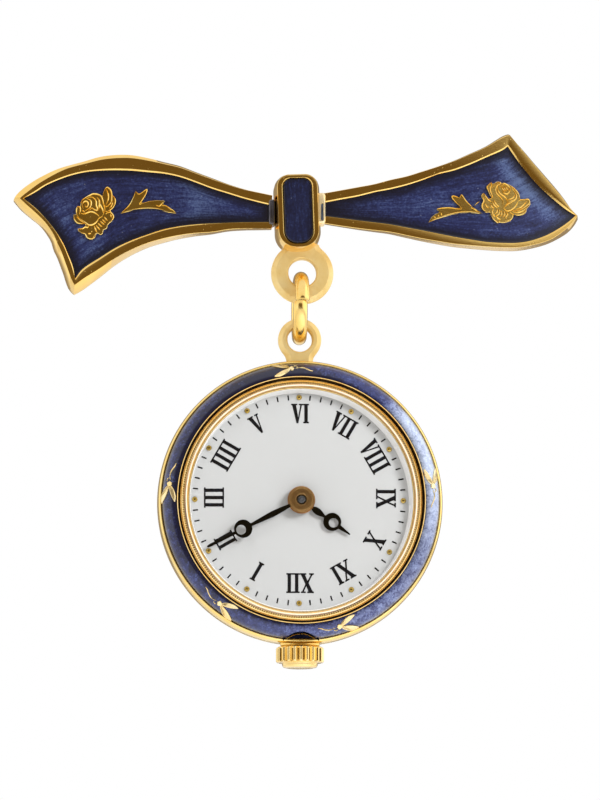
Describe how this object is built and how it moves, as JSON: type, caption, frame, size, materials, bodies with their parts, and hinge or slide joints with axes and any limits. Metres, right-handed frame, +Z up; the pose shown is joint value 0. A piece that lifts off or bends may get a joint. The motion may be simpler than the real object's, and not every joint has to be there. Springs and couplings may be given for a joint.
{
  "type": "pendant watch with bow brooch",
  "caption": "Gilt bow brooch with blue enamel, pinned at the back, and a small round watch hanging upside down from it on one link.",
  "frame": {"origin": "middle of the brooch's pin stem, where it goes through the cloth", "axes": "+Z up as worn, the enamel and the dial face -Y, the cloth is at +Y, +X to the right seen from the front, along the pin stem"},
  "size_m": [0.0515, 0.0069, 0.0495],
  "materials": {
    "gilt": "polished gilt",
    "bow_enamel": "gloss, streaked navy enamel",
    "relief": "polished gilt",
    "pin_metal": "polished gilt",
    "link_metal": "polished gilt",
    "case_metal": "polished gilt",
    "case_enamel": "gloss, streaked violet-blue enamel",
    "bezel_metal": "polished gilt",
    "crystal": "clear, polished",
    "dial": "satin white",
    "hour_dots": "polished gilt",
    "movement": "satin",
    "steel": "polished",
    "hands": "gloss black",
    "hand_brass": "turned brass",
    "crown_metal": "polished gilt"
  },
  "bodies": {
    "brooch": {"bow_frame": "gilt", "enamel_left": "bow_enamel", "enamel_right": "bow_enamel", "enamel_knot": "bow_enamel", "rose_left": "relief", "rose_right": "relief", "sprig_left": "relief", "sprig_right": "relief", "pin": "pin_metal"},
    "link": {"jump_ring": "link_metal"},
    "watch": {"case_middle": "case_metal", "case_back": "case_metal", "enamel_ring": "case_enamel", "bezel": "bezel_metal", "crystal": "crystal", "dial": "dial", "hour_dots": "hour_dots", "movement": "movement", "centre_post": "steel"},
    "hour": {"hour_hand": "hands", "hour_boss": "hand_brass"},
    "minute": {"minute_hand": "hands", "minute_boss": "hand_brass"},
    "winding_stem": {"stem": "steel"},
    "setting_crown": {"crown": "crown_metal"}
  },
  "joints": [
    {"name": "link_swing", "type": "hinge", "parent": "brooch", "child": "link", "pos_m": [0, -0.0029, -0.00876], "axis": [-1, 0, 0], "range_deg": [-30, 90]},
    {"name": "watch_swing", "type": "hinge", "parent": "link", "child": "watch", "pos_m": [0, -0.0029, -0.01265], "axis": [0, 1, 0], "range_deg": [-50, 50]},
    {"name": "minute_turn", "type": "hinge", "parent": "watch", "child": "minute", "pos_m": [0, -0.0044, -0.0279], "axis": [0, 1, 0], "continuous": true},
    {"name": "hour_turn", "type": "hinge", "parent": "watch", "child": "hour", "pos_m": [0, -0.0044, -0.0279], "axis": [0, 1, 0], "continuous": true},
    {"name": "crown_pull", "type": "slide", "parent": "watch", "child": "winding_stem", "axis": [0, 0, -1], "range_m": [0, 0.0006]},
    {"name": "crown_turn", "type": "hinge", "parent": "winding_stem", "child": "setting_crown", "pos_m": [0, -0.0029, -0.042], "axis": [0, 0, 1], "continuous": true}
  ],
  "couplings": [
    {"joint": "hour_turn", "follows": "minute_turn", "ratio": 0.083333}
  ]
}
